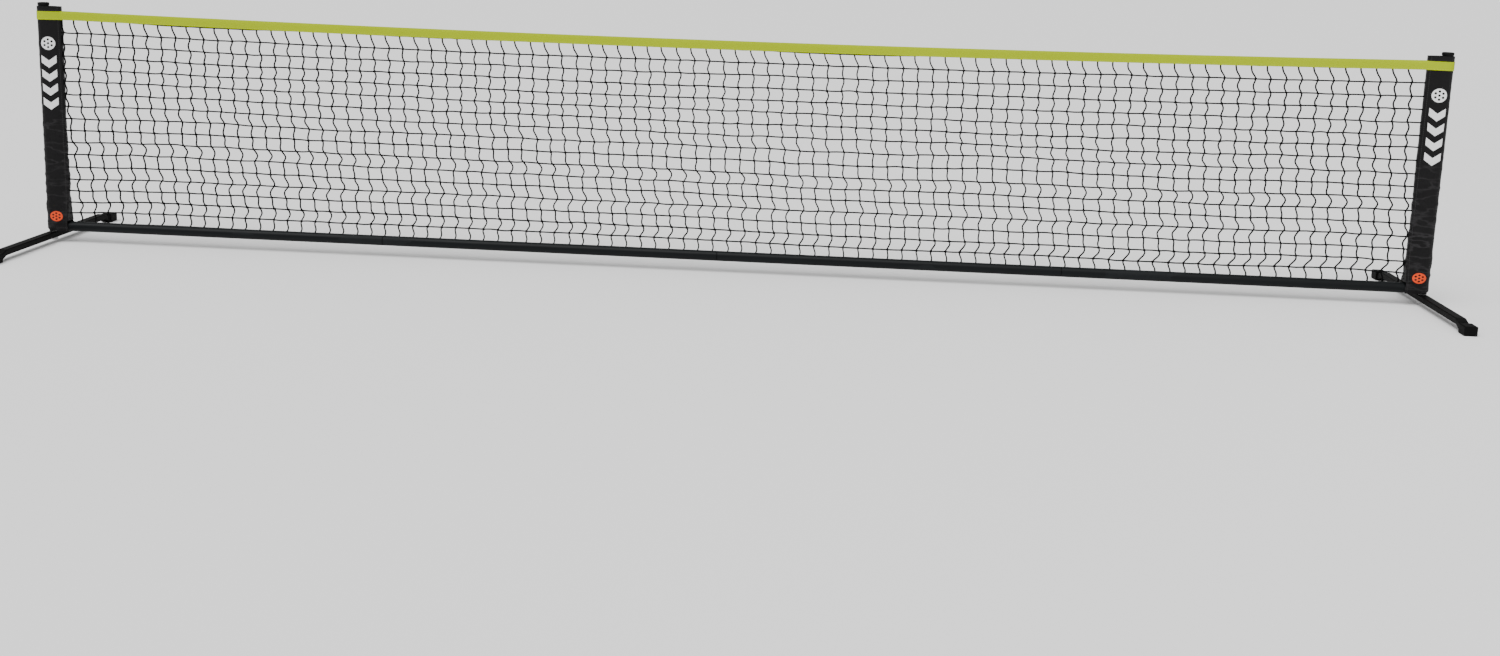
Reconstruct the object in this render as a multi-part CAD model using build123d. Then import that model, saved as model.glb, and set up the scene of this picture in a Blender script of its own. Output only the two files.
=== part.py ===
from build123d import *
import os

# A free-standing court net that comes apart for carrying. X runs along the net, Y from front to
# back and Z up. The origin is on the ground, half way between the two posts. All sizes are in mm.

# Overall sizes
post_spacing = 3000.0
post_top = 530.0
foot_length = 494.0

# Round tube of the rail and the posts
tube_diameter = 22.0
tube_wall = 1.2
stub_clearance = 0.075
stub_length = 60.0
rail_section_count = 4
collar_width = 1.5
collar_recess = 0.3
ferrule_wall = 1.5

# Corner elbow and the pivot under it
elbow_shoulder_x = 14.0
elbow_shoulder_z = 14.0
elbow_floor = 3.0
pivot_diameter = 8.0
pivot_clearance = 0.05
bolt_head_diameter = 13.0
bolt_head_height = 5.0
bolt_head_clearance = 0.5
bolt_projection = 6.0
washer_diameter = 20.0
washer_thickness = 1.0
nut_across_flats = 13.0
nut_height = 6.5
turning_gap = 0.1

# Foot bar: a rectangular tube, bent down at both ends
bar_width = 20.0
bar_height = 13.0
bar_wall = 1.5
bar_corner = 2.0
bar_drop = 8.0
bend_length = 20.0
bend_to_boot = 2.0

# Rubber boots on the bar's ends
boot_side_wall = 3.0
boot_sole = 3.0
boot_top_wall = 4.0
boot_end_wall = 4.0
boot_pocket = 22.0
boot_corner = 2.5

# Post cap
cap_overhang = 1.0
cap_height = 6.0
cap_edge = 2.5
cap_plug_length = 18.0
cap_wall = 2.0
cap_plug_clearance = 0.05

# Cloth sleeve over each post
cloth = 1.0
sleeve_clearance = 0.5
sleeve_reach = 39.0
sleeve_corner = 4.0
sleeve_hem_gap = 1.0
sleeve_below_top = 2.0
rail_slot_clearance = 0.8

# Headband, netting and cords
band_height = 20.0
band_below_sleeve_top = 10.0
band_fold = 0.8
band_side_gap = 0.2
band_sag = 12.0
netting_thickness = 1.2
netting_tuck = 5.0
netting_above_rail = 3.0
cord_diameter = 3.0
cord_clearance = 0.1
soft_gap = 0.3
bottom_cord_rise = 2.0
bottom_cord_lap = 17.0

# Heights and radii that follow from the sizes above
tube_radius = tube_diameter / 2
tube_bore = tube_radius - tube_wall
stub_radius = tube_bore - stub_clearance
stub_bore = bolt_head_diameter / 2 + bolt_head_clearance
end_middle = boot_sole + bar_height / 2
bar_middle = end_middle + bar_drop
bar_bottom = bar_middle - bar_height / 2
bar_top = bar_middle + bar_height / 2
elbow_bottom = bar_top + washer_thickness
rail_height = elbow_bottom + tube_radius
post_x = post_spacing / 2
post_bottom = rail_height + elbow_shoulder_z
rail_end_x = post_x - elbow_shoulder_x
section_length = (2 * rail_end_x - (rail_section_count - 1) * collar_width) / rail_section_count
pivot_radius = pivot_diameter / 2
pivot_hole = pivot_radius + pivot_clearance
cap_radius = tube_radius + cap_overhang
sleeve_pocket = cap_radius + sleeve_clearance
sleeve_depth = sleeve_pocket + cloth
sleeve_bottom = elbow_bottom + sleeve_hem_gap
sleeve_top = post_top - sleeve_below_top
net_edge_x = post_x - sleeve_reach
band_top = sleeve_top - band_below_sleeve_top
band_bottom = band_top - band_height
band_slot = cord_diameter + 2 * band_side_gap
band_thickness = band_slot + 2 * band_fold
foot_end = foot_length / 2
bar_end = foot_end - boot_end_wall
bend_out = bar_end - boot_pocket - bend_to_boot
bend_in = bend_out - bend_length


def export(shape, node):
    """Write one node's solids to its own file."""
    export_step(shape, "parts/" + node + ".step")


def at_post(shape, side):
    """Carry a shape drawn at a post's axis, with the net towards +X, to the left or right post."""
    left = Pos(-post_x, 0, 0) * shape
    return left if side == "left" else mirror(left, about=Plane.YZ)


def upright_cylinder(radius, bottom, top):
    """A cylinder on the post's axis between two heights."""
    return Pos(0, 0, (bottom + top) / 2) * Cylinder(radius, top - bottom)


def level_cylinder(radius, start, end, height=rail_height, depth=0.0):
    """A cylinder along X between two stations, at a height and a depth behind the net's plane."""
    along = Rotation(0, 90, 0) * Cylinder(radius, end - start)
    return Pos((start + end) / 2, depth, height) * along


# ---------------------------------------------------------------- rail


def make_rail_section(index):
    """One plain length of rail tube, counted from the left."""
    start = -rail_end_x + index * (section_length + collar_width)
    end = start + section_length
    return level_cylinder(tube_radius, start, end) - level_cylinder(tube_bore, start, end)


def make_rail_ferrule(index):
    """The inner sleeve that joins two rail sections, with a collar that both ends stop on."""
    collar_start = -rail_end_x + (index + 1) * section_length + index * collar_width
    collar_end = collar_start + collar_width
    body = level_cylinder(stub_radius, collar_start - stub_length, collar_end + stub_length)
    body += level_cylinder(tube_radius - collar_recess, collar_start, collar_end)
    bore = level_cylinder(stub_radius - ferrule_wall, collar_start - stub_length, collar_end + stub_length)
    return body - bore


def make_corner_elbow():
    """The welded corner: one stub up into the post and one stub along into the rail."""
    stub_top = post_bottom + stub_length
    stub_end = elbow_shoulder_x + stub_length
    body = upright_cylinder(tube_radius, elbow_bottom, post_bottom)
    body += upright_cylinder(stub_radius, elbow_bottom, stub_top)
    body += level_cylinder(tube_radius, 0, elbow_shoulder_x)
    body += level_cylinder(stub_radius, 0, stub_end)
    body -= upright_cylinder(stub_bore, elbow_bottom + elbow_floor, stub_top)
    body -= level_cylinder(stub_bore, 0, stub_end)
    return body - upright_cylinder(pivot_hole, elbow_bottom, stub_top)


# ---------------------------------------------------------------- posts


def make_upright():
    """The post tube, which drops over the elbow's upper stub."""
    tube = upright_cylinder(tube_radius, post_bottom, post_top)
    return tube - upright_cylinder(tube_bore, post_bottom, post_top)


def make_post_cap():
    """A moulded plug with a rounded rim that closes the post's top."""
    rim = upright_cylinder(cap_radius, post_top, post_top + cap_height)
    rim = fillet(rim.edges().group_by(Axis.Z)[-1], cap_edge)
    plug = upright_cylinder(tube_bore - cap_plug_clearance, post_top - cap_plug_length, post_top)
    hollow = upright_cylinder(tube_bore - cap_wall, post_top - cap_plug_length, post_top - cap_edge)
    return rim + plug - hollow


# ---------------------------------------------------------------- feet


def bar_outline(half_height):
    """The foot bar's side view: level in the middle and stepped down at both ends."""
    line = [(-bar_end, end_middle), (-bend_out, end_middle), (-bend_in, bar_middle)]
    line += [(-y, z) for y, z in reversed(line)]
    upper = [(y, z + half_height) for y, z in line]
    lower = [(y, z - half_height) for y, z in reversed(line)]
    return Plane.YZ * make_face(Polyline(*upper, *lower, close=True).edges())


def make_bar_blank():
    """The foot bar's solid outside, with its long corners rounded."""
    blank = extrude(bar_outline(bar_height / 2), bar_width / 2, both=True)
    long_edges = blank.edges().filter_by(lambda edge: abs(edge.tangent_at(0).Y) > 0.5)
    return fillet(long_edges, bar_corner)


def make_foot_bar():
    """The rectangular tube that the elbow turns on."""
    outer = make_bar_blank()
    inner = extrude(bar_outline(bar_height / 2 - bar_wall), bar_width / 2 - bar_wall, both=True)
    return outer - inner - upright_cylinder(pivot_hole, bar_bottom, bar_top)


def make_boot(facing):
    """A rubber boot pushed over one end of the bar; facing is -1 at the front and 1 at the back."""
    length = boot_pocket + boot_end_wall
    width = bar_width + 2 * boot_side_wall
    height = boot_sole + bar_height + boot_top_wall
    middle = facing * (foot_end - length / 2)
    block = Pos(0, middle, height / 2) * Box(width, length, height)
    block = fillet(block.edges().filter_by(Axis.Y), boot_corner)
    return block - make_bar_blank()


def make_pivot_bolt():
    """A round-headed bolt that drops down through the elbow's floor and the bar."""
    seat = elbow_bottom + elbow_floor
    shank = upright_cylinder(pivot_radius, bar_bottom - bolt_projection, seat)
    head = upright_cylinder(bolt_head_diameter / 2, seat, seat + bolt_head_height)
    head = fillet(head.edges().group_by(Axis.Z)[-1], bolt_head_height / 3)
    return shank + head


def make_pivot_washer():
    """The plastic washer between the elbow and the bar."""
    bottom = bar_top + turning_gap
    disc = upright_cylinder(washer_diameter / 2, bottom, elbow_bottom)
    return disc - upright_cylinder(pivot_radius, bottom, elbow_bottom)


def make_pivot_nut():
    """The lock nut under the bar."""
    top = bar_bottom - turning_gap
    hexagon = RegularPolygon(nut_across_flats / 2, 6, major_radius=False)
    nut = Pos(0, 0, top - nut_height) * extrude(hexagon, nut_height)
    return nut - upright_cylinder(pivot_radius, top - nut_height, top)


# ---------------------------------------------------------------- net


def sleeve_outline(depth, reach, corner):
    """A sleeve's cross-section: round about the post and squared off at the netting."""
    flat = Rectangle(reach, 2 * depth, align=(Align.MIN, Align.CENTER))
    flat = fillet(flat.vertices().group_by(Axis.X)[-1], corner)
    return Circle(depth) + flat


def make_sleeve():
    """The cloth sleeve: open below, slotted for the rail and with a hole for the cap on top."""
    outside = sleeve_outline(sleeve_depth, sleeve_reach, sleeve_corner)
    inside = sleeve_outline(sleeve_pocket, sleeve_reach - cloth, sleeve_corner - cloth)
    shell = Pos(0, 0, sleeve_bottom) * extrude(outside, sleeve_top - sleeve_bottom)
    shell -= Pos(0, 0, sleeve_bottom) * extrude(inside, sleeve_top - cloth - sleeve_bottom)
    shell -= upright_cylinder(sleeve_pocket, sleeve_top - cloth, sleeve_top)
    slot_half = tube_radius + rail_slot_clearance
    slot_height = rail_height + slot_half - sleeve_bottom
    slot = Box(2 * sleeve_corner, 2 * slot_half, slot_height)
    return shell - Pos(sleeve_reach, 0, sleeve_bottom + slot_height / 2) * slot


def make_band_end():
    """The end of the headband, wrapped round the sleeve."""
    outer = sleeve_outline(sleeve_depth + cloth, sleeve_reach + cloth, sleeve_corner + cloth)
    ring = outer - sleeve_outline(sleeve_depth, sleeve_reach, sleeve_corner)
    return Pos(0, 0, band_bottom) * extrude(ring, band_height)


def hanging_line(height, left, right):
    """A shallow arc that hangs by the headband's sag between two level ends."""
    middle = (left + right) / 2
    return ThreePointArc((left, height), (middle, height - band_sag), (right, height))


def hanging_strip(bottom, top, left, right, thickness, level=False):
    """A strip with a hanging top edge, and a level or hanging bottom, centred on the net's plane."""
    upper = hanging_line(top, left, right)
    lower = Line((left, bottom), (right, bottom)) if level else hanging_line(bottom, left, right)
    sides = [Line((left, bottom), (left, top)), Line((right, bottom), (right, top))]
    face = make_face([upper.edge(), lower.edge()] + [side.edge() for side in sides])
    return extrude(Plane.XZ * face, thickness / 2, both=True)


def make_headband():
    """The coloured tape, folded over the top cord and the netting's upper edge."""
    left = -net_edge_x + cloth
    right = net_edge_x - cloth - soft_gap
    tape = hanging_strip(band_bottom, band_top, left, right, band_thickness)
    slot = hanging_strip(band_bottom - band_fold, band_top - band_fold, left, right, band_slot)
    return tape - slot


def make_netting():
    """The knotted netting as one thin panel, tucked up into the headband."""
    bottom = rail_height + tube_radius + netting_above_rail
    left = -net_edge_x
    right = net_edge_x - soft_gap
    top = band_bottom + netting_tuck
    panel = hanging_strip(bottom, top, left, right, netting_thickness, level=True)
    for end in (left, right):
        panel -= Pos(end, 0, band_bottom) * Box(2 * cloth, band_thickness, 2 * band_height)
    return panel


def make_top_cord():
    """The cord in the headband's fold, which carries the net."""
    left = -net_edge_x + cloth + soft_gap
    right = net_edge_x - cloth - 2 * soft_gap
    height = band_top - band_fold - cord_clearance - cord_diameter / 2
    path = Plane.XZ * hanging_line(height, left, right)
    section = Plane(path @ 0, z_dir=path % 0) * Circle(cord_diameter / 2)
    return sweep(section, path=path)


def make_bottom_cord():
    """The cord along the netting's lower edge, behind the rail and along the sleeves' backs."""
    end = net_edge_x + bottom_cord_lap
    depth = sleeve_depth + cord_diameter / 2
    return level_cylinder(cord_diameter / 2, -end, end, rail_height + bottom_cord_rise, depth)


os.makedirs("parts", exist_ok=True)

for number in range(rail_section_count):
    export(make_rail_section(number), "rail_section_" + str(number + 1))

for number in range(rail_section_count - 1):
    export(make_rail_ferrule(number), "rail_ferrule_" + str(number + 1))

post_pieces = {
    "corner_elbow": make_corner_elbow(),
    "upright": make_upright(),
    "post_cap": make_post_cap(),
    "foot_bar": make_foot_bar(),
    "front_boot": make_boot(-1),
    "rear_boot": make_boot(1),
    "pivot_bolt": make_pivot_bolt(),
    "pivot_washer": make_pivot_washer(),
    "pivot_nut": make_pivot_nut(),
    "sleeve": make_sleeve(),
    "band_end": make_band_end(),
}
for side in ("left", "right"):
    for piece, shape in post_pieces.items():
        export(at_post(shape, side), piece + "_" + side)

export(make_headband(), "headband")
export(make_netting(), "netting")
export(make_top_cord(), "top_cord")
export(make_bottom_cord(), "bottom_cord")
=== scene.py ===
"""Looks of a take-down court net: netting, headband, post sleeves, tube frame and feet.

Everything is in metres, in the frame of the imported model: X runs along the net, Y from front to back
and Z up, with the origin on the ground half way between the posts.
"""

import logging
import math
from collections.abc import Callable, Iterable
from dataclasses import dataclass, field
from enum import Enum

import bpy
from mathutils import Euler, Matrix, Quaternion, Vector, noise


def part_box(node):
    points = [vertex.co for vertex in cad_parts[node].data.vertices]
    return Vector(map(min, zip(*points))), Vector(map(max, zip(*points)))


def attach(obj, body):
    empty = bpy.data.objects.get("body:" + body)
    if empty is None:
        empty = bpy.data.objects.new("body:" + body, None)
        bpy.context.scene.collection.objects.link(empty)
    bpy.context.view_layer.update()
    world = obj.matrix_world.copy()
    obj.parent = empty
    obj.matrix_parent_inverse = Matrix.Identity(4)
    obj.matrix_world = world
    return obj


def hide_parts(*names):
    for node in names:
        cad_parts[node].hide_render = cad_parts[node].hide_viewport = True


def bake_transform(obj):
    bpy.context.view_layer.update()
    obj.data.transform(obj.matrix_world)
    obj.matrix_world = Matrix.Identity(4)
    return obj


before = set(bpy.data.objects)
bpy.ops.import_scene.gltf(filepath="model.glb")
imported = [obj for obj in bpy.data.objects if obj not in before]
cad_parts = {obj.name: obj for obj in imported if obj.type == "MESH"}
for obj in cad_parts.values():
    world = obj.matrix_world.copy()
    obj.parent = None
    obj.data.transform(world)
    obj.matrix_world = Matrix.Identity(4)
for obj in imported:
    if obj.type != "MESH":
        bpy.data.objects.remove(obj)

log = logging.getLogger("net")
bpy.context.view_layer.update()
Colour = tuple[float, float, float, float]
Triple = tuple[float, float, float]


# ------------------------------------------------------------------ shader maths


class Value:
    """A number in a node tree, which Python's operators extend with Math nodes."""

    def __init__(self, shader: "Shader", socket: bpy.types.NodeSocket) -> None:
        """Wrap one output socket."""
        self.shader = shader
        self.socket = socket

    def math(self, operation: str, *others: object) -> "Value":
        """Add a Math node whose first input is this value.

        Args:
            operation: The Math node's operation.
            others: Its further inputs, as values or numbers.

        Returns:
            The node's result.
        """
        return self.shader.calculate(operation, self, *others)

    def __add__(self, other: object) -> "Value":
        """Sum."""
        return self.math("ADD", other)

    __radd__ = __add__

    def __mul__(self, other: object) -> "Value":
        """Product."""
        return self.math("MULTIPLY", other)

    __rmul__ = __mul__

    def __sub__(self, other: object) -> "Value":
        """Difference."""
        return self.math("SUBTRACT", other)

    def __rsub__(self, other: object) -> "Value":
        """Difference, from a number."""
        return self.shader.calculate("SUBTRACT", other, self)

    def __truediv__(self, other: object) -> "Value":
        """Quotient."""
        return self.math("DIVIDE", other)

    def __pow__(self, other: object) -> "Value":
        """Power."""
        return self.math("POWER", other)

    def __lt__(self, other: object) -> "Value":
        """1 where this is the smaller, else 0."""
        return self.math("LESS_THAN", other)

    def __gt__(self, other: object) -> "Value":
        """1 where this is the larger, else 0."""
        return self.math("GREATER_THAN", other)

    def __abs__(self) -> "Value":
        """Size without sign."""
        return self.math("ABSOLUTE")

    def sine(self) -> "Value":
        """Sine of this value in radians."""
        return self.math("SINE")

    def fraction(self) -> "Value":
        """What is left above the whole number below."""
        return self.math("FRACT")

    def largest(self, other: object) -> "Value":
        """The larger of two."""
        return self.math("MAXIMUM", other)


class Shader:
    """One material's node tree under construction."""

    def __init__(self, name: str) -> None:
        """Start a material with an empty principled surface.

        Args:
            name: The material's name.
        """
        self.material = bpy.data.materials.new(name)
        self.material.use_nodes = True
        self.tree = self.material.node_tree
        self.surface = self.tree.nodes["Principled BSDF"]
        self.place = self.node("ShaderNodeTexCoord").outputs["Object"]

    def node(
        self,
        kind: str,
        settings: dict[str, object] | None = None,
        inputs: dict[object, object] | None = None,
    ) -> bpy.types.Node:
        """Add a node.

        Args:
            kind: The node's type.
            settings: Its properties, set first.
            inputs: Socket names or numbers, with a number, colour, socket or Value for each.

        Returns:
            The node.
        """
        made = self.tree.nodes.new(kind)
        for name, value in (settings or {}).items():
            setattr(made, name, value)
        for key, value in (inputs or {}).items():
            self.feed(made.inputs[key], value)
        return made

    def feed(self, socket: bpy.types.NodeSocket, value: object) -> None:
        """Link or set one input.

        Args:
            socket: The input.
            value: A number, colour, socket or Value.
        """
        if isinstance(value, Value):
            value = value.socket
        if isinstance(value, bpy.types.NodeSocket):
            self.tree.links.new(value, socket)
        else:
            socket.default_value = value

    def calculate(self, operation: str, *terms: object) -> Value:
        """Add a Math node.

        Args:
            operation: The node's operation.
            terms: Its inputs in order.

        Returns:
            The result.
        """
        made = self.node("ShaderNodeMath", {"operation": operation}, dict(enumerate(terms)))
        return Value(self, made.outputs[0])

    def axes(self, source: bpy.types.NodeSocket | None = None) -> list[Value]:
        """The three parts of a vector, by default of the place on the object."""
        parts = self.node("ShaderNodeSeparateXYZ", inputs={0: source or self.place})
        return [Value(self, output) for output in parts.outputs]

    def noise(self, scale: float, detail: float = 2.0, stretch: Triple = (1, 1, 1)) -> Value:
        """Soft noise over the object.

        Args:
            scale: Blotches per metre.
            detail: Octaves.
            stretch: Factors on the three axes.

        Returns:
            The noise, from 0 to 1.
        """
        moved = self.node("ShaderNodeMapping", inputs={"Vector": self.place, "Scale": stretch})
        inputs = {"Vector": moved.outputs[0], "Scale": scale, "Detail": detail}
        return Value(self, self.node("ShaderNodeTexNoise", inputs=inputs).outputs[0])

    def uv(self) -> list[Value]:
        """The piece's own UV map, in metres along and across."""
        return self.axes(self.node("ShaderNodeUVMap", {"uv_map": "Cloth"}).outputs[0])

    def mix(self, factor: object, first: object, second: object) -> bpy.types.NodeSocket:
        """Blend two colours.

        Args:
            factor: 0 for the first colour, 1 for the second.
            first: A colour or socket.
            second: A colour or socket.

        Returns:
            The blended colour.
        """
        inputs = {"Factor": factor, 6: first, 7: second}
        return self.node("ShaderNodeMix", {"data_type": "RGBA"}, inputs).outputs[2]

    def bump(self, height: Value, distance: float) -> None:
        """Relief on the surface, with its height scaled to a distance in metres."""
        inputs = {"Height": height, "Distance": distance}
        self.feed(self.surface.inputs["Normal"], self.node("ShaderNodeBump", inputs=inputs).outputs[0])

    def finish(self, **sockets: object) -> bpy.types.Material:
        """Set the surface's own sockets and hand over the material.

        Args:
            sockets: Their values or links, named as they are but with underscores for spaces.

        Returns:
            The material.
        """
        for name, value in sockets.items():
            self.feed(self.surface.inputs[name.replace("_", " ")], value)
        return self.material


# ------------------------------------------------------------------ finishes


def grey(level: float) -> Colour:
    """A neutral colour."""
    return (level, level, level, 1.0)


@dataclass(frozen=True)
class PaintedSteel:
    """Black powder coat on steel tube."""

    name: str = "powder_coated_steel"
    colour: Colour = (0.0052, 0.0062, 0.0068, 1.0)
    worn: Colour = (0.0120, 0.0138, 0.0150, 1.0)
    roughness: float = 0.40
    shine: float = 0.11
    peel_scale: float = 900.0
    peel_relief: float = 0.00006
    rub_scale: float = 14.0
    rub_level: float = 0.62
    grit_scale: float = 160.0

    def build(self) -> bpy.types.Material:
        """Fine orange peel, with drawn-out rub marks that are a little duller.

        Returns:
            The material.
        """
        shader = Shader(self.name)
        peel = shader.noise(self.peel_scale, 2.0)
        rubbed = shader.noise(self.rub_scale, 4.0, (0.25, 1.0, 1.0))
        marks = (rubbed > self.rub_level) * shader.noise(self.grit_scale, 3.0)
        shader.bump(peel, self.peel_relief)
        colour = shader.mix(marks, self.colour, self.worn)
        roughness = self.roughness + marks * 0.25 + peel * 0.06
        return shader.finish(Base_Color=colour, Roughness=roughness, Specular_IOR_Level=self.shine)


@dataclass(frozen=True)
class PlatedSteel:
    """Bright zinc on bolts and nuts."""

    name: str = "zinc_plated_steel"
    colour: Colour = (0.56, 0.56, 0.55, 1.0)
    dull: Colour = (0.40, 0.40, 0.41, 1.0)
    cloud_scale: float = 240.0
    turned_lines: float = 9000.0
    line_depth: float = 0.00002

    def build(self) -> bpy.types.Material:
        """Cloudy plating with turned lines.

        Returns:
            The material.
        """
        shader = Shader(self.name)
        cloud = shader.noise(self.cloud_scale, 4.0)
        height = shader.axes()[2]
        shader.bump((height * self.turned_lines).sine(), self.line_depth)
        colour = shader.mix(cloud, self.colour, self.dull)
        return shader.finish(Base_Color=colour, Metallic=1.0, Roughness=0.25 + cloud * 0.2)


@dataclass(frozen=True)
class Moulded:
    """Rubber or plastic with a fine moulded grain."""

    name: str
    colour: Colour
    dusty: Colour
    roughness: float
    grain: float
    shine: float = 0.3
    grain_scale: float = 1400.0
    dust_scale: float = 45.0

    def build(self) -> bpy.types.Material:
        """Fine grain, and dust in soft patches.

        Returns:
            The material.
        """
        shader = Shader(self.name)
        grain = shader.noise(self.grain_scale, 2.0)
        dust = shader.noise(self.dust_scale, 5.0) ** 2.0
        shader.bump(grain, self.grain)
        colour = shader.mix(dust, self.colour, self.dusty)
        roughness = self.roughness + grain * 0.1
        return shader.finish(Base_Color=colour, Roughness=roughness, Specular_IOR_Level=self.shine)


class Strand(Enum):
    """Which way a laid line mostly runs."""

    ACROSS = 0
    UP = 2


@dataclass(frozen=True)
class Twine:
    """Black twisted twine or braided cord."""

    name: str
    strand: Strand
    lay: float = 0.0032
    colour: Colour = (0.0040, 0.0040, 0.0043, 1.0)
    worn: Colour = (0.0130, 0.0128, 0.0132, 1.0)
    relief: float = 0.0003
    fuzz_scale: float = 700.0
    roughness: float = 0.72

    def build(self) -> bpy.types.Material:
        """Slanted strands with a paler crown.

        Returns:
            The material.
        """
        shader = Shader(self.name)
        place = shader.axes()
        along = place[self.strand.value]
        around = place[1] + place[2 - self.strand.value]
        ridge = ((along + around) * (math.tau / self.lay)).sine() * 0.5 + 0.5
        shader.bump(ridge, self.relief)
        fuzz = shader.noise(self.fuzz_scale, 3.0)
        colour = shader.mix(ridge * 0.4 + fuzz * 0.3, self.colour, self.worn)
        roughness = self.roughness + fuzz * 0.15
        return shader.finish(Base_Color=colour, Roughness=roughness, Specular_IOR_Level=0.06)


@dataclass(frozen=True)
class Tape:
    """Lime polyester binding tape, with a stitched lower edge."""

    name: str = "lime_tape"
    colour: Colour = (0.390, 0.490, 0.0020, 1.0)
    shaded: Colour = (0.300, 0.385, 0.0020, 1.0)
    thread: Colour = (0.520, 0.620, 0.0200, 1.0)
    rib: float = 0.0011
    stitch: float = 0.0042
    stitch_width: float = 0.0004
    stitch_share: float = 0.7
    hem: float = 0.0028
    relief: float = 0.00018
    shade_scale: float = 9.0
    roughness: float = 0.62

    def build(self) -> bpy.types.Material:
        """Fine cross ribs, soft shade changes and one row of stitches above the lower edge.

        Returns:
            The material.
        """
        shader = Shader(self.name)
        along, across, _ = shader.uv()
        ribs = (along * (math.tau / self.rib)).sine() * 0.5 + 0.5
        warp = (across * (math.tau / self.rib)).sine() * 0.5 + 0.5
        row = abs(across - self.hem) < self.stitch_width
        dashes = row * ((along / self.stitch).fraction() < self.stitch_share)
        soft = shader.noise(self.shade_scale, 3.0, (0.4, 1.0, 2.0))
        shader.bump(ribs * warp * 0.5 + dashes * 1.5, self.relief)
        base = shader.mix(soft * 0.6 + ribs * 0.15, self.colour, self.shaded)
        colour = shader.mix(dashes, base, self.thread)
        roughness = self.roughness + ribs * 0.12
        return shader.finish(Base_Color=colour, Roughness=roughness, Specular_IOR_Level=0.1)


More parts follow.
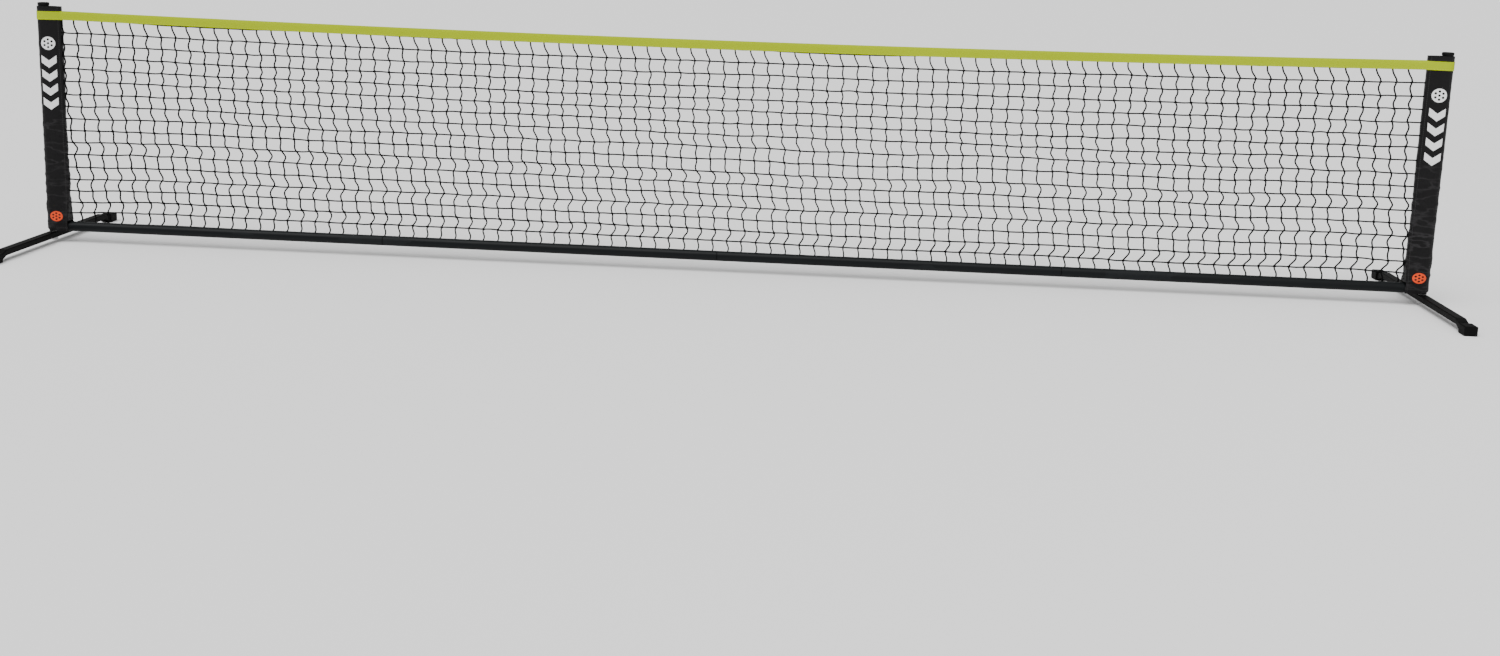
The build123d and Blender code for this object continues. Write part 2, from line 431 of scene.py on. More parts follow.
@dataclass(frozen=True)
class SleeveCloth:
    """Black coated nylon with a printed ball and chevrons, and a small round badge."""

    name: str
    middle: float
    net_side: float
    hems: tuple[float, float]
    colour: Colour = (0.0030, 0.0027, 0.0030, 1.0)
    bloom: Colour = (0.0065, 0.0060, 0.0068, 1.0)
    thread_colour: Colour = grey(0.030)
    # Lighter grey of the crease lines: mostly a painted sheen highlight on the folds, partly crease wear in
    # the coating.
    crease_sheen: Colour = (0.034, 0.032, 0.034, 1.0)
    white: Colour = (0.86, 0.86, 0.86, 1.0)
    orange: Colour = (0.78, 0.070, 0.014, 1.0)
    thread: float = 0.0009
    ball_height: float = 0.447
    ball_radius: float = 0.0145
    ball_hole: float = 0.0024
    holes: int = 6
    hole_ring: float = 0.58
    chevron_top: float = 0.4100
    chevron_bottom: float = 0.3000
    chevron_pitch: float = 0.0310
    chevron_half: float = 0.0155
    chevron_share: float = 0.52
    chevron_slope: float = 0.75
    badge_height: float = 0.060
    badge_radius: float = 0.0115
    badge_hole: float = 0.001955
    badge_narrowing: float = 0.82
    print_depth: float = 0.004
    seam: float = 0.0215
    stitch: float = 0.0045
    stitch_share: float = 0.65
    stitch_width: float = 0.0005
    relief: float = 0.00025
    bloom_scale: float = 30.0
    scuff_scale: float = 9.0
    crease_sheen_scale: float = 26.0
    crease_sheen_sharpness: float = 26.0
    baggy_scale: float = 17.0
    roughness: float = 0.36

    def disc(self, across: Value, up: Value, centre: tuple[float, float], radius: float) -> Value:
        """A filled circle.

        Args:
            across: Distance from the print's middle line.
            up: Height.
            centre: The circle's place across and up.
            radius: Its radius.

        Returns:
            1 inside, else 0.
        """
        side = across - centre[0]
        rise = up - centre[1]
        return side * side + rise * rise < radius * radius

    def perforated(self, across: Value, up: Value, height: float, radius: float, hole: float) -> Value:
        """A disc with a ring of holes and one in the middle.

        Args:
            across: Distance from the print's middle line.
            up: Height.
            height: Height of the disc's centre.
            radius: Its radius.
            hole: Radius of each hole.

        Returns:
            1 on the disc, 0 in the holes and outside.
        """
        mark = self.disc(across, up, (0.0, height), radius)
        ring = radius * self.hole_ring
        spots = [(0.0, height)]
        for index in range(self.holes):
            turn = math.tau * (index + 0.5) / self.holes
            spots.append((ring * math.cos(turn), height + ring * math.sin(turn)))
        for spot in spots:
            mark = mark * (1 - self.disc(across, up, spot, hole))
        return mark

    def print_marks(self, across: Value, up: Value) -> tuple[Value, Value]:
        """Where the print lies.

        Args:
            across: Distance from the print's middle line.
            up: Height.

        Returns:
            A mask of the white ball and chevrons, and one of the badge.
        """
        ball = self.perforated(across, up, self.ball_height, self.ball_radius, self.ball_hole)
        rise = up - abs(across) * self.chevron_slope
        bars = ((rise - self.chevron_bottom) / self.chevron_pitch).fraction() < self.chevron_share
        inside = (rise < self.chevron_top) * (rise > self.chevron_bottom) * (abs(across) < self.chevron_half)
        narrowed = across * self.badge_narrowing
        badge = self.perforated(narrowed, up, self.badge_height, self.badge_radius, self.badge_hole)
        return (bars * inside).largest(ball), badge

    def dashes(self, line: Value, along: Value) -> Value:
        """Stitches along a line: 1 on a thread, else 0."""
        return line * ((along / self.stitch).fraction() < self.stitch_share)

    def build(self) -> bpy.types.Material:
        """Plain weave with a soft bloom, painted sheen on creases low down, the print on both faces, a seam
        beside the net and sewn hems.

        Returns:
            The material.
        """
        shader = Shader(self.name)
        x, y, z = shader.axes()
        across = x - self.middle
        weave = ((x + y) * (math.tau / self.thread)).sine() * (z * (math.tau / self.thread)).sine()
        on_face = abs(y) > self.print_depth
        marks, badge = self.print_marks(across, z)
        seam = self.dashes(abs(across - self.net_side * self.seam) < self.stitch_width, z)
        hems = (abs(z - self.hems[0]) < self.stitch_width).largest(abs(z - self.hems[1]) < self.stitch_width)
        bloom = shader.noise(self.bloom_scale, 4.0, (1.0, 1.0, 2.2))
        scuff = shader.noise(self.scuff_scale, 2.0)
        shader.bump(weave * 0.25 + bloom * 3.0 + seam * 2.0, self.relief)
        stitches = seam.largest(self.dashes(hems, x.largest(y) + x + y))
        # Lighter crease lines low on the sleeve: mostly painted sheen, the highlight of folds, partly crease
        # wear; the pattern is not taken from the mesh's folds.
        waves = shader.noise(self.crease_sheen_scale, 3.0, (0.5, 0.5, 1.7))
        crease_sheen = 1 - abs(waves - 0.5) * self.crease_sheen_sharpness
        baggy = (z < self.chevron_bottom) * shader.noise(self.baggy_scale, 2.0) ** 2.0
        sheened_cloth = shader.mix(crease_sheen.largest(0.0) * baggy * 2.2, self.colour, self.crease_sheen)
        cloth = shader.mix(stitches, shader.mix(bloom * 0.4, sheened_cloth, self.bloom), self.thread_colour)
        printed = shader.mix(marks * on_face, cloth, self.white)
        colour = shader.mix(badge * on_face, printed, self.orange)
        roughness = self.roughness + bloom * 0.15 + scuff * 0.1
        return shader.finish(Base_Color=colour, Roughness=roughness, Specular_IOR_Level=0.16)


# ------------------------------------------------------------------ modelling helpers


def clear_selection() -> None:
    """Leave edit mode with nothing selected."""
    if bpy.context.object and bpy.context.object.mode != "OBJECT":
        bpy.ops.object.mode_set(mode="OBJECT")
    bpy.ops.object.select_all(action="DESELECT")


def settle(name: str, material: bpy.types.Material, smooth_angle: float) -> bpy.types.Object:
    """Finish the active object as a piece at the origin.

    Args:
        name: The piece's name.
        material: Its only material.
        smooth_angle: Edges flatter than this many degrees are shaded smooth.

    Returns:
        The piece.
    """
    piece = bpy.context.object
    piece.name = name
    bpy.ops.object.transform_apply(location=True, rotation=True, scale=True)
    piece.data.materials.clear()
    piece.data.materials.append(material)
    bpy.ops.object.shade_smooth_by_angle(angle=math.radians(smooth_angle))
    log.info("%s: %d faces", name, len(piece.data.polygons))
    return piece


def apply_modifier(kind: str, **settings: object) -> None:
    """Add a modifier to the active object and apply it.

    Args:
        kind: The modifier's type.
        settings: Its properties.
    """
    piece = bpy.context.object
    modifier = piece.modifiers.new(kind.title(), kind)
    for name, value in settings.items():
        setattr(modifier, name, value)
    bpy.ops.object.modifier_apply(modifier=modifier.name)


def edit_all(operator: Callable[..., object], **settings: object) -> None:
    """Run one operator on the whole of the active mesh.

    Args:
        operator: A mesh operator for edit mode.
        settings: Its settings.
    """
    bpy.ops.object.mode_set(mode="EDIT")
    bpy.ops.mesh.select_all(action="SELECT")
    operator(**settings)
    bpy.ops.object.mode_set(mode="OBJECT")


def make_grid(columns: int, rows: int, shape: Callable[[int, int], Vector]) -> bpy.types.Object:
    """Add a grid and carry each of its points to its place.

    Args:
        columns: Points along the grid.
        rows: Points across it.
        shape: Gives the place of the point in a column and row.

    Returns:
        The grid, active and selected.
    """
    clear_selection()
    bpy.ops.mesh.primitive_grid_add(x_subdivisions=columns - 1, y_subdivisions=rows - 1, size=1.0)
    grid = bpy.context.object
    for index, vertex in enumerate(grid.data.vertices):
        vertex.co = shape(index % columns, index // columns)
    return grid


def map_cloth(piece: bpy.types.Object, measure: Callable[[Vector], tuple[float, float]]) -> None:
    """Give a piece the UV map that its cloth material reads.

    Args:
        piece: The cloth's object.
        measure: Gives a point's distances along and across the cloth, in metres.
    """
    layer = piece.data.uv_layers.get("Cloth") or piece.data.uv_layers.new(name="Cloth")
    for loop in piece.data.loops:
        layer.data[loop.index].uv = measure(piece.data.vertices[loop.vertex_index].co)


def make_lines(name: str, routes: Iterable[list[Vector]], radius: float, sides: int = 1) -> None:
    """Make round lines along routes, as one active mesh object.

    Args:
        name: The object's name.
        routes: The points of each line.
        radius: Half the line's thickness.
        sides: The bevel resolution, 0 for square and 1 for six-sided.
    """
    clear_selection()
    curve = bpy.data.curves.new(name, "CURVE")
    curve.dimensions = "3D"
    curve.bevel_depth = radius
    curve.bevel_resolution = sides
    curve.use_fill_caps = True
    for route in routes:
        spline = curve.splines.new("POLY")
        spline.points.add(len(route) - 1)
        for point, place in zip(spline.points, route):
            point.co = (*place, 1.0)
    lines = bpy.data.objects.new(name, curve)
    bpy.context.scene.collection.objects.link(lines)
    bpy.context.view_layer.objects.active = lines
    lines.select_set(True)
    bpy.ops.object.convert(target="MESH")


def smooth_step(low: float, high: float, value: float) -> float:
    """0 below low, 1 above high and a smooth rise between."""
    share = min(max((value - low) / (high - low), 0.0), 1.0)
    return share * share * (3.0 - 2.0 * share)


# ------------------------------------------------------------------ frame


@dataclass
class TubeFrame:
    """The steel, rubber and plastic pieces, whose shapes are the model's own."""

    steel: PaintedSteel = field(default_factory=PaintedSteel)
    ferrule_steel: PaintedSteel = field(
        default_factory=lambda: PaintedSteel("ferrule_steel", grey(0.0008), grey(0.002), 0.6, 0.02)
    )
    bar_steel: PaintedSteel = field(
        default_factory=lambda: PaintedSteel("foot_bar_steel", grey(0.0026), grey(0.0075), 0.5, 0.045)
    )
    plated: PlatedSteel = field(default_factory=PlatedSteel)
    rubber: Moulded = field(
        default_factory=lambda: Moulded("boot_rubber", grey(0.0022), grey(0.005), 0.62, 0.0001, 0.08)
    )
    cap_plastic: Moulded = field(
        default_factory=lambda: Moulded("cap_plastic", grey(0.002), grey(0.004), 0.45, 0.00006, 0.12)
    )
    nylon: Moulded = field(
        default_factory=lambda: Moulded("washer_nylon", grey(0.62), grey(0.5), 0.4, 0.00003)
    )

    def dress(self) -> None:
        """Give every carried-over node its material."""
        finishes = {
            ("rail_section", "upright", "corner_elbow"): self.steel,
            ("foot_bar",): self.bar_steel,
            ("rail_ferrule",): self.ferrule_steel,
            ("pivot_bolt", "pivot_nut"): self.plated,
            ("front_boot", "rear_boot"): self.rubber,
            ("post_cap",): self.cap_plastic,
            ("pivot_washer",): self.nylon,
        }
        for starts, finish in finishes.items():
            material = finish.build()
            for name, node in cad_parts.items():
                if name.startswith(starts):
                    node.data.materials.clear()
                    node.data.materials.append(material)
                    log.info("%s: %s", name, material.name)


# ------------------------------------------------------------------ sleeves


class Side(Enum):
    """The two posts, as seen from the front; the value points away from the net."""

    left = -1
    right = 1


@dataclass
class Sleeve:
    """The cloth sleeve over one post."""

    side: Side
    thickness: float = 0.0009
    around: int = 72
    rows: int = 150
    slack: float = 0.0017
    hem: float = 0.011
    hem_swell: float = 0.0004
    corner_rise: float = 0.006
    corner_fade: float = 0.045
    thin_edge: float = 0.0042
    wide_edge: float = 0.0124
    edge_rise: tuple[float, float] = (0.050, 0.115)
    notch_top: float = 0.049
    bulge: float = 0.0022
    inset: float = 0.0002
    inward: float = 0.0002
    lean: float = 0.0008
    cap_gap: float = 0.0006
    slot_search: float = 0.0025
    folds: Triple = (16.0, 22.0, 62.0)
    cross_folds: Triple = (30.0, 24.0, 38.0)
    sharp_folds: Triple = (11.0, 14.0, 48.0)

    def __post_init__(self) -> None:
        """Take the sleeve's place from the model."""
        low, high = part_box(f"sleeve_{self.side.name}")
        self.bottom = low.z
        self.top = high.z
        self.depth = high.y
        post_low, post_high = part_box(f"upright_{self.side.name}")
        self.post_x = (post_low.x + post_high.x) / 2
        self.reach = (high.x - low.x) - self.depth
        self.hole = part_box(f"post_cap_{self.side.name}")[1].y + self.cap_gap

    def edge(self, height: float) -> float:
        """Half the sleeve's thickness at the netting, at a height."""
        return self.wide_edge + (self.thin_edge - self.wide_edge) * smooth_step(*self.edge_rise, height)

    def outline(self, share: float, height: float, grow: float = 0.0) -> tuple[float, float]:
        """A point on the sleeve's section.

        Args:
            share: 0 to 1 round the section, from the middle of the net-side edge.
            height: Height of the section.
            grow: How far outside the sleeve the point lies.

        Returns:
            Distance towards the net from the post's axis, and depth.
        """
        radius = self.depth + grow - self.inset
        edge = self.edge(height) + grow
        flat = math.hypot(self.reach, radius - edge)
        half_turn = math.pi * radius
        total = 2 * edge + 2 * flat + half_turn
        run = share * total
        mirrored = run > total / 2
        run = total - run if mirrored else run
        if run < edge:
            point = (self.reach + grow, run)
        elif run < edge + flat:
            along = (run - edge) / flat
            bulge = self.bulge * math.sin(math.pi * along) * (radius - edge) / self.depth
            point = ((self.reach + grow) * (1 - along), edge + (radius - edge) * along + bulge)
        else:
            turn = (run - edge - flat) / radius
            point = (-radius * math.sin(turn), radius * math.cos(turn))
        return point[0], -point[1] if not mirrored else point[1]

    def wrap(self) -> float:
        """Length of the section from one corner at the netting round the post to the other."""
        return 2 * math.hypot(self.reach, self.depth - self.thin_edge) + math.pi * self.depth

    def hem_lines(self) -> tuple[float, float]:
        """Heights of the stitching above the lower hem and below the upper one."""
        return self.bottom + self.hem - 0.002, self.top - self.hem + 0.002

    def slackness(self, height: float) -> float:
        """How loose the cloth is: snug at the top, baggier below the middle.

        Args:
            height: Height on the sleeve.

        Returns:
            A factor from 0, where it is tight, to 1.
        """
        low = 1 - smooth_step(self.bottom + 0.20, self.bottom + 0.33, height)
        end = smooth_step(self.bottom, self.bottom + 0.03, height)
        return (0.28 + 0.72 * low) * end * (1 - smooth_step(self.top - 0.055, self.top - 0.032, height))

    def swell(self, height: float) -> float:
        """How far the folded hems stand out.

        Args:
            height: Height on the sleeve.

        Returns:
            The distance.
        """
        low = 1 - smooth_step(self.bottom + self.hem - 0.001, self.bottom + self.hem + 0.001, height)
        high = smooth_step(self.top - self.hem - 0.001, self.top - self.hem + 0.001, height)
        return self.hem_swell * (low + high)

    def rounded(self, x: float, height: float) -> float:
        """The height of the cloth once its lower outer corner is rounded off."""
        lift = self.corner_rise * smooth_step(0.2 * self.depth, -self.depth, x)
        return height + lift * (1 - smooth_step(self.bottom, self.bottom + self.corner_fade, height))

    def wrinkle(self, x: float, y: float, z: float) -> float:
        """How far a fold pushes the cloth out or in.

        Args:
            x: Distance towards the net from the post's axis.
            y: Depth.
            z: Height.

        Returns:
            The push, negative where it goes in.
        """
        seed = 7.0 * self.side.value
        soft = noise.noise(Vector((x, y, z)) * Vector(self.folds) + Vector((seed, 0, 0)))
        slanted = Vector((-z * 25.0, seed, 0))
        cross = noise.noise(Vector((x, y, z)) * Vector(self.cross_folds) + slanted)
        drawn = Vector((0, -seed, x * 18.0))
        crisp = 1.0 - abs(noise.noise(Vector((x, y, z)) * Vector(self.sharp_folds) + drawn)) * 2.0
        return self.slack * (soft + 0.6 * cross + 0.7 * (crisp ** 3 - 0.45)) * self.slackness(z)

    def place(self, share: float, height: float) -> Vector:
        """The cloth's place, folds included.

        Args:
            share: 0 to 1 round the section, from the middle of the net-side edge.
            height: Height of the section, before the lower corner is rounded off.

        Returns:
            The point.
        """
        x, y = self.outline(share, height)
        outward = Vector((x - self.reach * 0.3, y * 1.6, 0.0)).normalized()
        away = smooth_step(self.depth, self.reach * 0.8, x)
        inward = self.inward + self.slack * away
        push = max(self.wrinkle(x, y, height), -inward) + self.swell(height)
        lean = self.lean * math.sin(height * 21.0 + self.side.value) * self.slackness(height) * away
        x = x + outward.x * push + lean
        y = y + outward.y * push
        return Vector((self.post_x - self.side.value * x, y, self.rounded(x, height)))

    def build(self, material: bpy.types.Material) -> None:
        """Wrap, close the top round the cap, open the slot for the rail and give the cloth its thickness.

        Args:
            material: The cloth's material.
        """
        step = (self.top - self.bottom) / self.rows

        def shape(column: int, row: int) -> Vector:
            """The wrapped grid's points."""
            return self.place((column % self.around) / self.around, self.bottom + row * step)

        sleeve = make_grid(self.around + 1, self.rows + 1, shape)
        edit_all(bpy.ops.mesh.remove_doubles, threshold=0.00005)
        self.close_top(sleeve)
        self.open_slot(sleeve)
        edit_all(bpy.ops.mesh.normals_make_consistent, inside=False)
        if self.faces_inward(sleeve):
            edit_all(bpy.ops.mesh.flip_normals)
        apply_modifier("SOLIDIFY", thickness=self.thickness, offset=-1.0, use_even_offset=False)
        piece = settle(f"cloth_sleeve_{self.side.name}", material, 60.0)
        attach(piece, f"net_{self.side.name}")
        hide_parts(f"sleeve_{self.side.name}")
        flat = (2 * self.thin_edge + self.wrap(), self.top - self.bottom)

    def close_top(self, sleeve: bpy.types.Object) -> None:
        """Draw the top edge in to the hole round the post's cap.

        Args:
            sleeve: The wrapped cloth, which is active.
        """
        self.select_edges(sleeve, lambda a, b: min(a.z, b.z) > self.top - 0.00002)
        bpy.ops.object.mode_set(mode="EDIT")
        bpy.ops.mesh.extrude_region_move()
        bpy.ops.object.mode_set(mode="OBJECT")
        centre = Vector((self.post_x, 0.0, self.top))
        for vertex in sleeve.data.vertices:
            if vertex.select:
                arm = vertex.co - centre
                arm.z = 0.0
                vertex.co = centre + arm.normalized() * self.hole

    def open_slot(self, sleeve: bpy.types.Object) -> None:
        """Remove the net-side edge where the rail comes in.

        Args:
            sleeve: The wrapped cloth, which is active.
        """
        face_x = self.post_x - self.side.value * self.reach
        bpy.ops.object.mode_set(mode="EDIT")
        bpy.ops.mesh.select_all(action="DESELECT")
        bpy.ops.mesh.select_mode(type="FACE")
        bpy.ops.object.mode_set(mode="OBJECT")
        for face in sleeve.data.polygons:
            near = abs(face.center.x - face_x) < self.slot_search and abs(face.center.y) < self.wide_edge
            face.select = near and face.center.z < self.notch_top
        bpy.ops.object.mode_set(mode="EDIT")
        bpy.ops.mesh.delete(type="FACE")
        bpy.ops.mesh.select_mode(type="VERT")
        bpy.ops.object.mode_set(mode="OBJECT")

    def select_edges(self, sleeve: bpy.types.Object, wanted: Callable[[Vector, Vector], bool]) -> None:
        """Select the edges whose ends pass a test.

        Args:
            sleeve: The wrapped cloth, which is active.
            wanted: The test, which is given an edge's two ends.
        """
        bpy.ops.object.mode_set(mode="EDIT")
        bpy.ops.mesh.select_mode(type="EDGE")
        bpy.ops.mesh.select_all(action="DESELECT")
        bpy.ops.object.mode_set(mode="OBJECT")
        points = sleeve.data.vertices
        for edge in sleeve.data.edges:
            edge.select = wanted(points[edge.vertices[0]].co, points[edge.vertices[1]].co)

    def faces_inward(self, sleeve: bpy.types.Object) -> bool:
        """Whether the front wall's faces point at the post."""
        lean = sum(face.normal.y * face.center.y for face in sleeve.data.polygons)
        return lean < 0


# ------------------------------------------------------------------ net


@dataclass
class Net:
    """The netting, its cords and the headband, which stretch between the two sleeves."""

    columns: int = 92
    rows: int = 17
    first_column: float = 0.3
    twine: float = 0.0017
    knot: float = 0.0014
    turn: float = 0.0022
    points_per_cell: int = 8
    sag: float = 0.012
    top_tuck: float = 0.0026
    top_wander: float = 3.8
    drift: float = 0.019
    top_slant: float = 0.0095
    bottom_hook: float = 0.0055
    swing: float = 0.0031
    swing_wave: tuple[float, float] = (10.5, 2.25)
    ripple: float = 0.0021
    ripple_wave: tuple[float, float] = (8.1, 1.2)
    wander: float = 0.0024
    slow_wave: float = 0.0044
    quick_wave: float = 0.0026
    row_slack: float = 0.0018
    edge_gap: float = 0.0015
    tuck: float = 0.010
    cord_rise: float = 0.0065
    cord_steps: int = 120
    side_hold: float = 0.009

    def __post_init__(self) -> None:
        """Take the net's place from the model."""
        low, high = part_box("netting")
        self.left = low.x
        self.right = high.x
        self.pitch = (self.right - self.left) / (self.columns - 0.1)
        cord_low, cord_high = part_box("bottom_cord")
        self.cord_radius = (cord_high.z - cord_low.z) / 2
        self.cord_depth = (cord_low.y + cord_high.y) / 2
        self.cord_height = (cord_low.z + cord_high.z) / 2
        self.cord_ends = (cord_low.x, cord_high.x)
        band_low, band_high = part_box("band_end_left")
        self.band_bottom = band_low.z
        self.band_top = band_high.z

    def dip(self, x: float) -> float:
        """How far the headband hangs below its ends."""
        half = (self.right - self.left) / 2
        return self.sag * (1 - (x / half) ** 2)

    def cord_line(self, x: float) -> float:
        """Height of the bottom cord, which rides up a little between the sleeves.

        Args:
            x: Place along the net.

        Returns:
            The height of the cord's middle.
        """
        inside = smooth_step(0.0, 0.15, min(x - self.left, self.right - x))
        rise = 0.5 + noise.noise(Vector((x * 1.7, 0.0, 40.0))) * 1.4 - 0.25 * x
        return self.cord_height + self.cord_rise * min(max(rise, 0.0), 1.0) * inside

    def row_height(self, row: float, x: float) -> float:
        """Height of a netting row.

        Args:
            row: The row, counted down from 0 at the headband's lower edge, or a place between two.
            x: Place along the net.

        Returns:
            The height.
        """
        top = self.band_bottom - self.dip(x)
        share = row / self.rows
        tucked = self.top_tuck * (1 - smooth_step(0.0, 0.6, row))
        loose = noise.noise(Vector((x * 2.2, 4.0, 31.0))) * self.top_wander
        level = top + (self.cord_line(x) - top) * share + tucked * (1 + loose)
        slow = noise.noise(Vector((x * 2.4, row * 0.35, 3.0))) * self.slow_wave
        quick = noise.noise(Vector((x * 15.0, row * 1.7, 8.0))) * self.quick_wave
        return level + (slow + quick) * (0.25 + 0.75 * math.sin(math.pi * share))

    def column_shift(self, row: float, x: float) -> float:
        """How far an upright string has wandered sideways: nearly the same for all of them.

        Args:
            row: The row, or a place between two.
            x: Where the string would be if it were straight.

        Returns:
            The distance to the right.
        """
        share = row / self.rows
        drift = self.drift * smooth_step(0.30, 0.80, share) - self.drift / 3
        slant = self.top_slant * (1 - 0.25 * x / self.left) * math.exp(-row / 0.75)
        hook = self.bottom_hook * (1 + x / self.left) * math.exp((row - self.rows) / 0.45)
        lively = 1.0 + 0.5 * noise.noise(Vector((x * 1.3, 0.0, 11.0)))
        late = 0.3 * noise.noise(Vector((x * 0.8, row * 0.2, 15.0)))
        baggy = smooth_step(0.35, 0.60, share)
        start, period = self.swing_wave
        swing = self.swing * baggy * math.cos(math.tau * (row - start + late) / period)
        start, period = self.ripple_wave
        ripple = self.ripple * math.cos(math.tau * (row - start + late) / period)
        own = self.wander * noise.noise(Vector((x * 31.0, row * 0.9, 27.0)))
        return drift - slant - hook + (swing + ripple) * lively + own

    def depth(self, row: float) -> float:
        """How far behind the posts' plane the netting hangs, as it passes behind the rail."""
        return self.cord_depth * smooth_step(self.rows - 2.6, self.rows - 0.6, row)

    def crossing(self, column: int, row: float) -> Vector:
        """Where an upright string is at a row.

        Args:
            column: The string, counted from the left.
            row: The row, or a place between two.

        Returns:
            The point.
        """
        x = self.left + (column + self.first_column) * self.pitch
        shifted = max(x + self.column_shift(row, x), self.left + self.edge_gap)
        shifted = min(shifted, self.right - self.edge_gap)
        return Vector((shifted, self.depth(row), self.row_height(row, shifted)))

    def upright_route(self, column: int) -> list[Vector]:
        """The way of one upright string, from inside the headband down to the bottom cord.

        Args:
            column: The string, counted from the left.

        Returns:
            Its points.
        """
        start = self.crossing(column, 0.0)
        tucked = Vector((start.x - 0.1 * self.pitch, 0.0, start.z + self.tuck))
        steps = self.rows * self.points_per_cell
        return [tucked] + [self.crossing(column, step / self.points_per_cell) for step in range(steps + 1)]

    def row_route(self, row: int) -> list[Vector]:
        """The way of one string across the net, through its crossings.

        Args:
            row: The row, counted from the top.

        Returns:
            Its points, from left to right.
        """
        hold = min(self.depth(row), self.side_hold)
        route = [Vector((self.left - 0.001, hold, self.row_height(row, self.left)))]
        crossings = [self.crossing(column, row) for column in range(self.columns)]
        for here, onward in zip(crossings, crossings[1:] + [None]):
            if here.x - route[-1].x > 0.001:
                route.append(here)
            if onward is not None and onward.x - here.x > 0.004:
                slack = self.row_slack * noise.noise(Vector(((here.x + onward.x) * 30.0, row * 3.1, 5.0)))
                for share in (0.25, 0.5, 0.75):
                    between = here.lerp(onward, share)
                    between.z += slack * math.sin(math.pi * share)
                    route.append(between)
        route.append(Vector((self.right + 0.001, hold, self.row_height(row, self.right))))
        return route

    def build_strings(self) -> None:
        """Lay the upright strings and the rows."""
        upright = Twine("netting_twine_upright", Strand.UP).build()
        across = Twine("netting_twine_across", Strand.ACROSS).build()
        make_lines("netting_uprights", map(self.upright_route, range(self.columns)), self.twine)
        self.hang(settle("netting_uprights", upright, 80.0), "black_twine", "netting")
        make_lines("netting_rows", map(self.row_route, range(self.rows)), self.twine)
        self.hang(settle("netting_rows", across, 80.0), "black_twine", "netting")
        self.build_knots(upright)

    def knot_shape(self) -> tuple[list[Vector], list[tuple[int, ...]]]:
        """One turn of twine about a crossing, slanted between the two strings.

        Returns:
            Its points about the crossing, and its faces.
        """
        clear_selection()
        bpy.ops.mesh.primitive_torus_add(
            major_segments=8,
            minor_segments=4,
            major_radius=self.turn,
            minor_radius=self.knot,
            rotation=(0.0, math.radians(45), 0.0),
        )
        bpy.ops.object.transform_apply(rotation=True)
        pattern = bpy.context.object
        points = [vertex.co.copy() for vertex in pattern.data.vertices]
        faces = [tuple(face.vertices) for face in pattern.data.polygons]
        bpy.ops.object.delete()
        return points, faces

    def build_knots(self, material: bpy.types.Material) -> None:
        """Put a knot on every crossing, copied from one, which slants the other way on every second row.

        Args:
            material: The knots' material.
        """
        shape, faces = self.knot_shape()
        points: list[Vector] = []
        copies: list[tuple[int, ...]] = []
        for column in range(self.columns):
            for row in range(1, self.rows):
                centre = self.crossing(column, row)
                turned = Quaternion((0, 1, 0), math.radians(90 * (row % 2)))
                start = len(points)
                points += [centre + turned @ point for point in shape]
                copies += [tuple(start + index for index in face) for face in faces]
        mesh = bpy.data.meshes.new("netting_knots")
        mesh.from_pydata(points, [], copies)
        knots = bpy.data.objects.new("netting_knots", mesh)
        bpy.context.scene.collection.objects.link(knots)
        clear_selection()
        bpy.context.view_layer.objects.active = knots
        knots.select_set(True)
        self.hang(settle("netting_knots", material, 80.0), "black_twine", "netting")

    def build_bottom_cord(self) -> None:
        """The cord behind the rail that the netting's lower edge is tied to."""
        start, end = self.cord_ends
        steps = self.cord_steps
        places = [start + (end - start) * index / steps for index in range(steps + 1)]
        route = [Vector((x, self.cord_depth, self.cord_line(x))) for x in places]
        make_lines("netting_bottom_cord", [route], self.cord_radius, 3)
        cord = settle("netting_bottom_cord", Twine("braided_cord", Strand.ACROSS, 0.004).build(), 60.0)
        self.hang(cord, "black_cord", "bottom_cord")

    def hang(self, piece: bpy.types.Object, slot: str, *nodes: str) -> None:
        """Bake a piece's place into its mesh, and hide the model nodes that it stands in for.

        Args:
            piece: The piece.
            slot: Not used.
            nodes: The nodes that it stands for.
        """
        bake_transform(piece)
        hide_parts(*nodes)


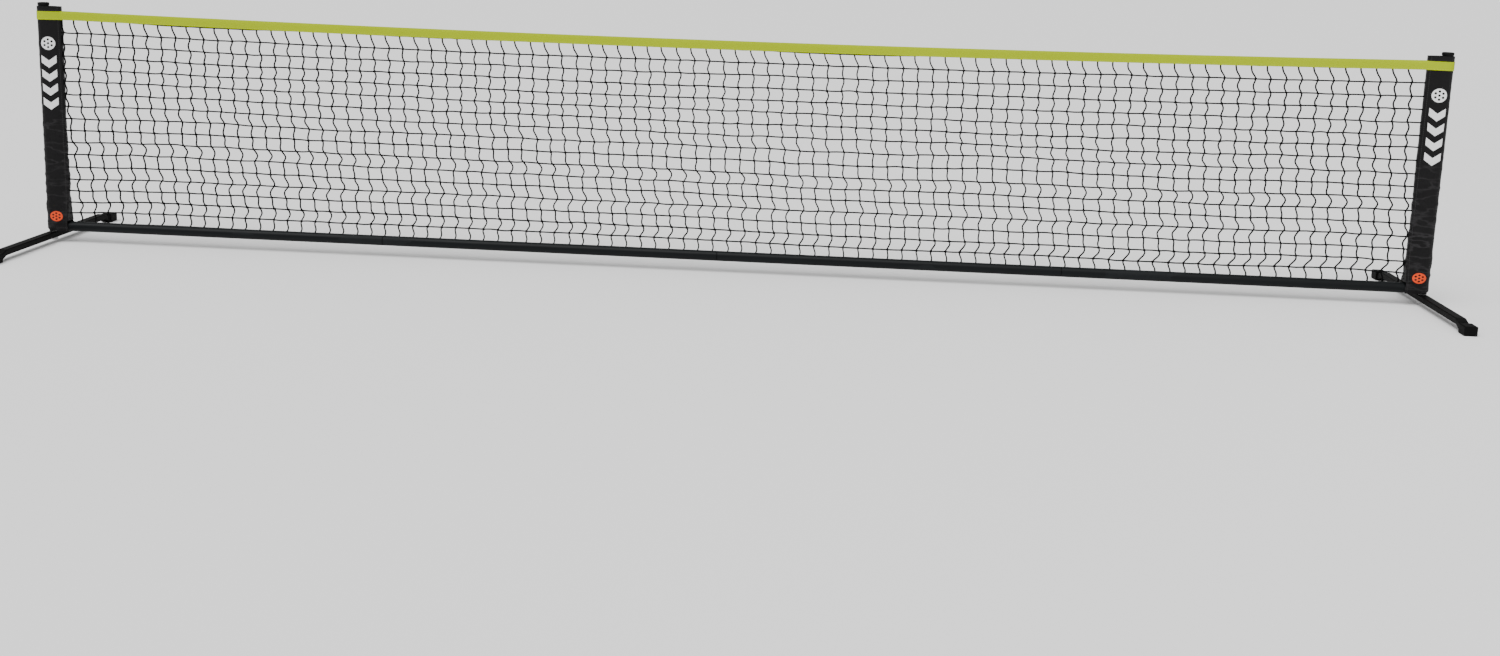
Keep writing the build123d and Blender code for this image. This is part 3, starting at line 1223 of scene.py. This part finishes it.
@dataclass
class Headband:
    """The lime tape, folded over the net's top cord and wrapped round both sleeves."""

    net: Net
    sleeves: dict[Side, Sleeve]
    thickness: float = 0.0007
    half_depth: float = 0.0021
    lift: float = 0.0009
    taper: float = 0.030
    fold: float = 0.005
    ripple: float = 0.0005
    roll: float = 0.72
    crest: float = 0.0007
    end_gap: float = 0.0015
    corner_share: float = 0.04
    lower_gap: float = 0.0006
    upper_gap: float = 0.0010
    rows: int = 6
    wrap_points: int = 44
    span_points: int = 150

    def section_loop(self) -> list[tuple[float, float]]:
        """The tape's line seen from above: front, round the right sleeve, back and round the left.

        Returns:
            Its points, as places along the net and depths.
        """
        front = self.span_line()
        back = [(x, -y) for x, y in reversed(front)]
        right_end = self.wrap_line(self.sleeves[Side.right])
        left_end = [(x, -y) for x, y in self.wrap_line(self.sleeves[Side.left])]
        return front + right_end + back + left_end

    def wrap_line(self, sleeve: Sleeve) -> list[tuple[float, float]]:
        """The tape's line round one sleeve, from its front net-side corner round to the back.

        Args:
            sleeve: The sleeve.

        Returns:
            Its points, as places along the net and depths.
        """
        height = (self.net.band_top + self.net.band_bottom) / 2
        line = []
        for index in range(self.wrap_points + 1):
            share = self.corner_share + (1 - 2 * self.corner_share) * index / self.wrap_points
            x, y = sleeve.outline(share, height, self.lift)
            line.append((sleeve.post_x - sleeve.side.value * x, y))
        return line

    def span_line(self) -> list[tuple[float, float]]:
        """The tape's front line between the sleeves.

        Returns:
            Its points from left to right, as places along the net and depths.
        """
        left = self.net.left + self.end_gap
        right = self.net.right - self.end_gap
        spread = self.sleeves[Side.left].thin_edge + self.lift
        line = []
        for index in range(self.span_points + 1):
            x = left + (right - left) * index / self.span_points
            near = min(x - left, right - x)
            y = self.half_depth + (spread - self.half_depth) * (1 - smooth_step(0.0, self.taper, near))
            ripple = self.ripple * noise.noise(Vector((x * 7.0, 2.0, 0.0)))
            line.append((x, -y - ripple))
        return line

    def build(self, material: bpy.types.Material) -> None:
        """Raise the line to the tape's height, fold it shut over the span and give it thickness.

        Args:
            material: The tape's material.
        """
        loop = self.section_loop()
        count = len(loop)
        height = self.net.band_top - self.net.band_bottom

        def shape(column: int, row: int) -> Vector:
            """A point of the raised tape.

            Args:
                column: Its number along the loop.
                row: Its number up the tape.

            Returns:
                Its place.
            """
            x, y = loop[column % count]
            rise = self.lower_gap + (height - self.lower_gap - self.upper_gap) * row / self.rows
            inside = self.net.left < x < self.net.right
            drop = self.net.dip(x) if inside else 0.0
            roll = self.roll if inside and row == self.rows else 1.0
            return Vector((x, y * roll, self.net.band_bottom + rise - drop))

        tape = make_grid(count + 1, self.rows + 1, shape)
        edit_all(bpy.ops.mesh.remove_doubles, threshold=0.00002)
        self.fold_shut(tape)
        edit_all(bpy.ops.mesh.normals_make_consistent, inside=False)
        map_cloth(tape, self.measure)
        apply_modifier("SOLIDIFY", thickness=self.thickness, offset=0.0, use_even_offset=False)
        piece = settle("headband_tape", material, 50.0)
        self.net.hang(piece, "lime_tape", "headband", "band_end_left", "band_end_right")
        flat = (2 * height + self.fold, self.net.right - self.net.left + self.sleeves[Side.left].wrap())

    def fold_shut(self, tape: bpy.types.Object) -> None:
        """Bridge the front and back upper edges over the span.

        Args:
            tape: The raised tape.
        """
        tops = {}
        for vertex in tape.data.vertices:
            inside = self.net.left + 0.001 < vertex.co.x < self.net.right - 0.001
            on_top = vertex.co.z > self.net.band_top - 0.0015 - self.net.dip(vertex.co.x)
            if inside and on_top and abs(vertex.co.y) < self.sleeves[Side.left].thin_edge + self.lift + 0.001:
                tops.setdefault(round(vertex.co.x, 5), {})[vertex.co.y > 0] = vertex.index
        keys = [key for key in sorted(tops) if len(tops[key]) == 2]
        mesh = tape.data
        points = [vertex.co.copy() for vertex in mesh.vertices]
        faces = [tuple(face.vertices) for face in mesh.polygons]
        crest = {}
        for key in keys:
            crest[key] = len(points)
            ridge = (points[tops[key][False]] + points[tops[key][True]]) / 2
            points.append(ridge + Vector((0, 0, self.crest)))
        for near, far in zip(keys, keys[1:]):
            for back in (False, True):
                faces.append((tops[near][back], tops[far][back], crest[far], crest[near]))
        mesh.clear_geometry()
        mesh.from_pydata(points, [], faces)

    def measure(self, place: Vector) -> tuple[float, float]:
        """Unroll the tape for its UV map.

        Args:
            place: A point on the tape.

        Returns:
            How far along and across the tape it is.
        """
        inside = self.net.left < place.x < self.net.right
        drop = self.net.dip(place.x) if inside else 0.0
        along = place.x if inside else place.x + place.y
        return along, place.z + drop - self.net.band_bottom


# ------------------------------------------------------------------ studio


@dataclass
class Studio:
    """A pale floor, soft lights and the camera."""

    sensor: float = 36.0
    lens: float = 33.648
    camera_at: Triple = (0.259, -2.986, 0.709)
    yaw: float = 3.68
    pitch: float = 9.44
    roll: float = 1.83
    rise: float = -0.1
    aim_at: Triple = (0.0, 0.0, 0.25)
    surroundings: float = 0.62
    sun_power: float = 3.3
    sun_width: float = 50.0
    sun_at: Triple = (-1.6, -2.2, 6.0)
    fill_power: float = 25.0
    fill_size: float = 2.4
    fill_at: Triple = (2.6, -3.4, 2.0)
    floor_size: float = 80.0

    def place_camera(self) -> None:
        """Set the camera at its viewpoint, looking slightly down and rolled a little."""
        data = bpy.data.cameras.new("camera")
        data.sensor_width = self.sensor
        data.lens = self.lens
        data.shift_y = self.rise
        camera = bpy.data.objects.new("camera", data)
        bpy.context.scene.collection.objects.link(camera)
        camera.location = self.camera_at
        camera.rotation_mode = "QUATERNION"
        level = Euler((math.radians(90 - self.pitch), 0.0, math.radians(self.yaw)))
        camera.rotation_quaternion = level.to_quaternion() @ Quaternion((0, 0, 1), math.radians(self.roll))
        bpy.context.scene.camera = camera

    def lay_floor(self) -> None:
        """A wide pale floor."""
        clear_selection()
        bpy.ops.mesh.primitive_plane_add(size=self.floor_size)
        floor = bpy.context.object
        floor.name = "floor"
        shader = Shader("pale_floor")
        floor.data.materials.append(shader.finish(Base_Color=grey(0.86), Roughness=0.9))

    def aim(self, lamp: bpy.types.Object, place: Triple) -> None:
        """Put a light in its place, facing the net's middle.

        Args:
            lamp: The light's object.
            place: Where it goes.
        """
        bpy.context.scene.collection.objects.link(lamp)
        lamp.location = place
        lamp.rotation_euler = (Vector(self.aim_at) - Vector(place)).to_track_quat("-Z", "Y").to_euler()

    def set_lights(self) -> None:
        """Bright surroundings, an even soft light from above on the left, and a low fill."""
        world = bpy.data.worlds.new("surroundings")
        world.use_nodes = True
        background = world.node_tree.nodes["Background"]
        background.inputs["Color"].default_value = grey(1.0)
        background.inputs["Strength"].default_value = self.surroundings
        bpy.context.scene.world = world
        sun = bpy.data.lights.new("overhead", "SUN")
        sun.energy = self.sun_power
        sun.angle = math.radians(self.sun_width)
        self.aim(bpy.data.objects.new("overhead", sun), self.sun_at)
        fill = bpy.data.lights.new("fill", "AREA")
        fill.shape = "SQUARE"
        fill.size = self.fill_size
        fill.energy = self.fill_power
        self.aim(bpy.data.objects.new("fill", fill), self.fill_at)

    def build(self) -> None:
        """Floor, lights and camera."""
        self.lay_floor()
        self.set_lights()
        self.place_camera()


def main() -> None:
    """Build the net's pieces in order and report them."""
    logging.basicConfig(level=logging.INFO, format="%(name)s %(message)s")
    clear_selection()
    Studio().build()
    TubeFrame().dress()
    net = Net()
    net.build_strings()
    net.build_bottom_cord()
    sleeves = {side: Sleeve(side) for side in Side}
    for side, sleeve in sleeves.items():
        middle = sleeve.post_x - side.value * (sleeve.reach - sleeve.depth) / 2
        cloth = SleeveCloth(f"sleeve_nylon_{side.name}", middle, -side.value, sleeve.hem_lines())
        sleeve.build(cloth.build())
    Headband(net, sleeves).build(Tape().build())
    top_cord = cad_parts["top_cord"]
    top_cord.data.materials.clear()
    top_cord.data.materials.append(Twine("top_cord_braid", Strand.ACROSS, 0.004).build())


if __name__ == "__main__":
    main()
